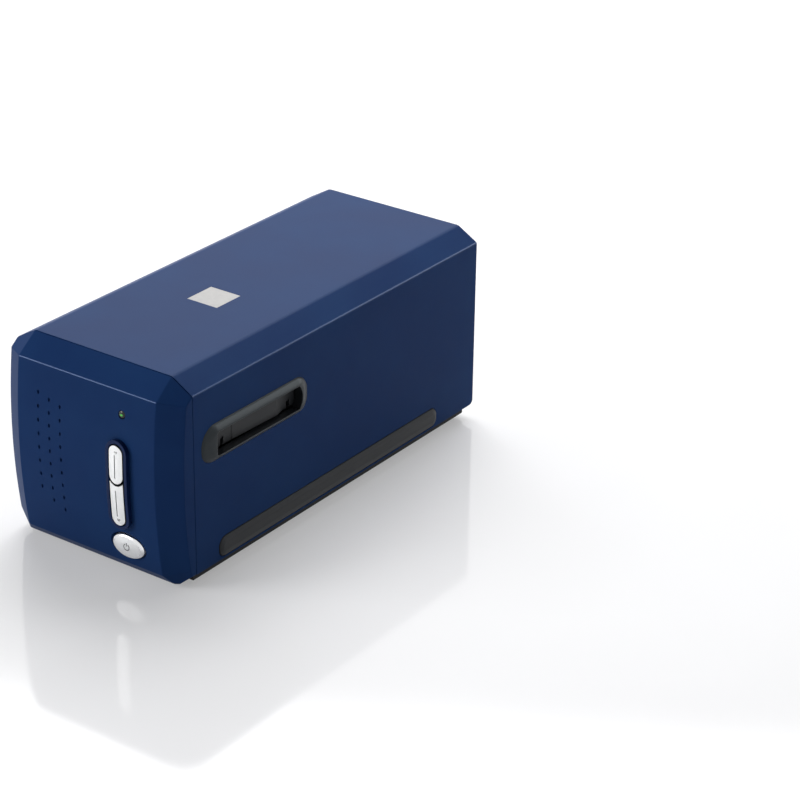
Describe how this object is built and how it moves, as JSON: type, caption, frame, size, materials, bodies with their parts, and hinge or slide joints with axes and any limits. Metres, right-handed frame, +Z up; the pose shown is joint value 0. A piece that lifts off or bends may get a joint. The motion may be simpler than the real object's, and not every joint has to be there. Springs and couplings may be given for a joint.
{
  "type": "film negative scanner",
  "caption": "Desktop scanner for 35 mm film: long faceted box with a bowed front, scan and power buttons, and a holder slot with a sprung dust door in each side.",
  "frame": {"origin": "middle of the footprint, on the table under the rubber feet", "axes": "+Y runs from the front bezel to the rear, +Z up, +X out of the right-hand slot seen from the front"},
  "size_m": [0.126, 0.275, 0.119],
  "materials": {
    "navy_shell": "satin moulded plastic",
    "charcoal_trim": "satin moulded plastic",
    "button_grey": "smooth moulded plastic",
    "power_chrome": "satin plated oval with a bright rim",
    "lamp_green": "dark tinted clear plastic",
    "base_black": "fine grained moulded plastic",
    "foot_rubber": "matt",
    "sticker_white": "bare paper sticker",
    "inner_black": "matt, keeps stray light down",
    "sheet_steel": "zinc plated sheet",
    "bright_steel": "ground rod and wire",
    "motor_metal": "drawn can",
    "lens_metal": "black anodised",
    "lens_glass": "coated",
    "mirror_glass": "front silvered",
    "bush_brass": "turned",
    "gear_nylon": "natural nylon",
    "belt_rubber": "matt",
    "board_green": "solder resist",
    "chip_black": "moulded packages",
    "diffuser_white": "milky acrylic",
    "ribbon_grey": "flat cable",
    "socket_metal": "plated socket shell"
  },
  "bodies": {
    "housing": {"housing_cover": "navy_shell", "front_bezel": "navy_shell", "rear_panel": "base_black", "base_tray": "base_black", "rubber_feet": "foot_rubber", "top_sticker": "sticker_white", "status_lamp": "lamp_green", "button_board": "board_green", "button_switches": "chip_black", "slot_trim_right": "charcoal_trim", "slot_trim_left": "charcoal_trim", "door_pin_right": "bright_steel", "door_pin_left": "bright_steel", "side_strip_right": "charcoal_trim", "side_strip_left": "charcoal_trim", "lower_film_guide": "inner_black", "upper_film_guide": "inner_black", "lamp_box": "diffuser_white", "lamp_diffuser": "diffuser_white", "lamp_board": "board_green", "chassis_plate": "sheet_steel", "guide_rod_left": "bright_steel", "guide_rod_right": "bright_steel", "stepper_motor": "motor_metal", "drive_stud": "bright_steel", "drive_belt": "belt_rubber", "idler_bracket": "sheet_steel", "belt_spring": "bright_steel", "home_sensor": "chip_black", "main_board": "board_green", "board_parts": "chip_black", "button_ribbon": "ribbon_grey", "usb_socket": "socket_metal", "power_jack": "chip_black", "cover_screws": "bright_steel", "chassis_screws": "bright_steel", "main_board_screws": "bright_steel", "button_board_screws": "bright_steel"},
    "upper_button": {"upper_scan_button": "button_grey", "upper_switch_plunger": "inner_black"},
    "lower_button": {"lower_scan_button": "button_grey", "lower_switch_plunger": "inner_black"},
    "power": {"power_button": "power_chrome", "power_switch_plunger": "inner_black"},
    "right_door": {"dust_door_right": "charcoal_trim", "door_spring_right": "bright_steel"},
    "left_door": {"dust_door_left": "charcoal_trim", "door_spring_left": "bright_steel"},
    "carriage": {"scan_carriage": "inner_black", "carriage_bushes": "bush_brass", "fold_mirror": "mirror_glass", "lens_barrel": "lens_metal", "lens_glass": "lens_glass", "sensor_board": "board_green"},
    "drive_wheel": {"drive_gear": "gear_nylon"},
    "pinion": {"motor_pinion": "bush_brass"},
    "idler": {"idler_pulley": "gear_nylon"}
  },
  "joints": [
    {"name": "upper_button_press", "type": "slide", "parent": "housing", "child": "upper_button", "axis": [0, 1, 0], "range_m": [0, 0.0006], "stiffness_N_per_m": 500, "springref_m": -0.0006},
    {"name": "lower_button_press", "type": "slide", "parent": "housing", "child": "lower_button", "axis": [0, 1, 0], "range_m": [0, 0.0006], "stiffness_N_per_m": 500, "springref_m": -0.0006},
    {"name": "power_button_press", "type": "slide", "parent": "housing", "child": "power", "axis": [0, 1, 0], "range_m": [0, 0.0006], "stiffness_N_per_m": 500, "springref_m": -0.0006},
    {"name": "right_door_hinge", "type": "hinge", "parent": "housing", "child": "right_door", "pos_m": [0.05505, -0.0668, 0.0871], "axis": [0, 1, 0], "range_deg": [0, 85], "stiffness_Nm_per_rad": 0.0006, "springref_deg": -34.38},
    {"name": "left_door_hinge", "type": "hinge", "parent": "housing", "child": "left_door", "pos_m": [-0.05505, -0.0668, 0.0871], "axis": [0, -1, 0], "range_deg": [0, 85], "stiffness_Nm_per_rad": 0.0006, "springref_deg": -34.38},
    {"name": "carriage_slide", "type": "slide", "parent": "housing", "child": "carriage", "axis": [0, 1, 0], "range_m": [0, 0.032]},
    {"name": "drive_gear_spin", "type": "hinge", "parent": "housing", "child": "drive_wheel", "pos_m": [0, 0.062, 0.0325], "axis": [0, 0, 1], "range_deg": [0, 277]},
    {"name": "idler_spin", "type": "hinge", "parent": "housing", "child": "idler", "pos_m": [0, -0.101, 0.038], "axis": [0, 0, 1], "range_deg": [0, 277]},
    {"name": "motor_pinion_spin", "type": "hinge", "parent": "housing", "child": "pinion", "pos_m": [0.01611, 0.07328, 0.0325], "axis": [0, 0, 1], "range_deg": [-691, 0]}
  ],
  "couplings": [
    {"joint": "drive_gear_spin", "follows": "carriage_slide", "rad_per_m": 150.38},
    {"joint": "idler_spin", "follows": "carriage_slide", "rad_per_m": 150.38},
    {"joint": "motor_pinion_spin", "follows": "carriage_slide", "rad_per_m": -375.94}
  ]
}
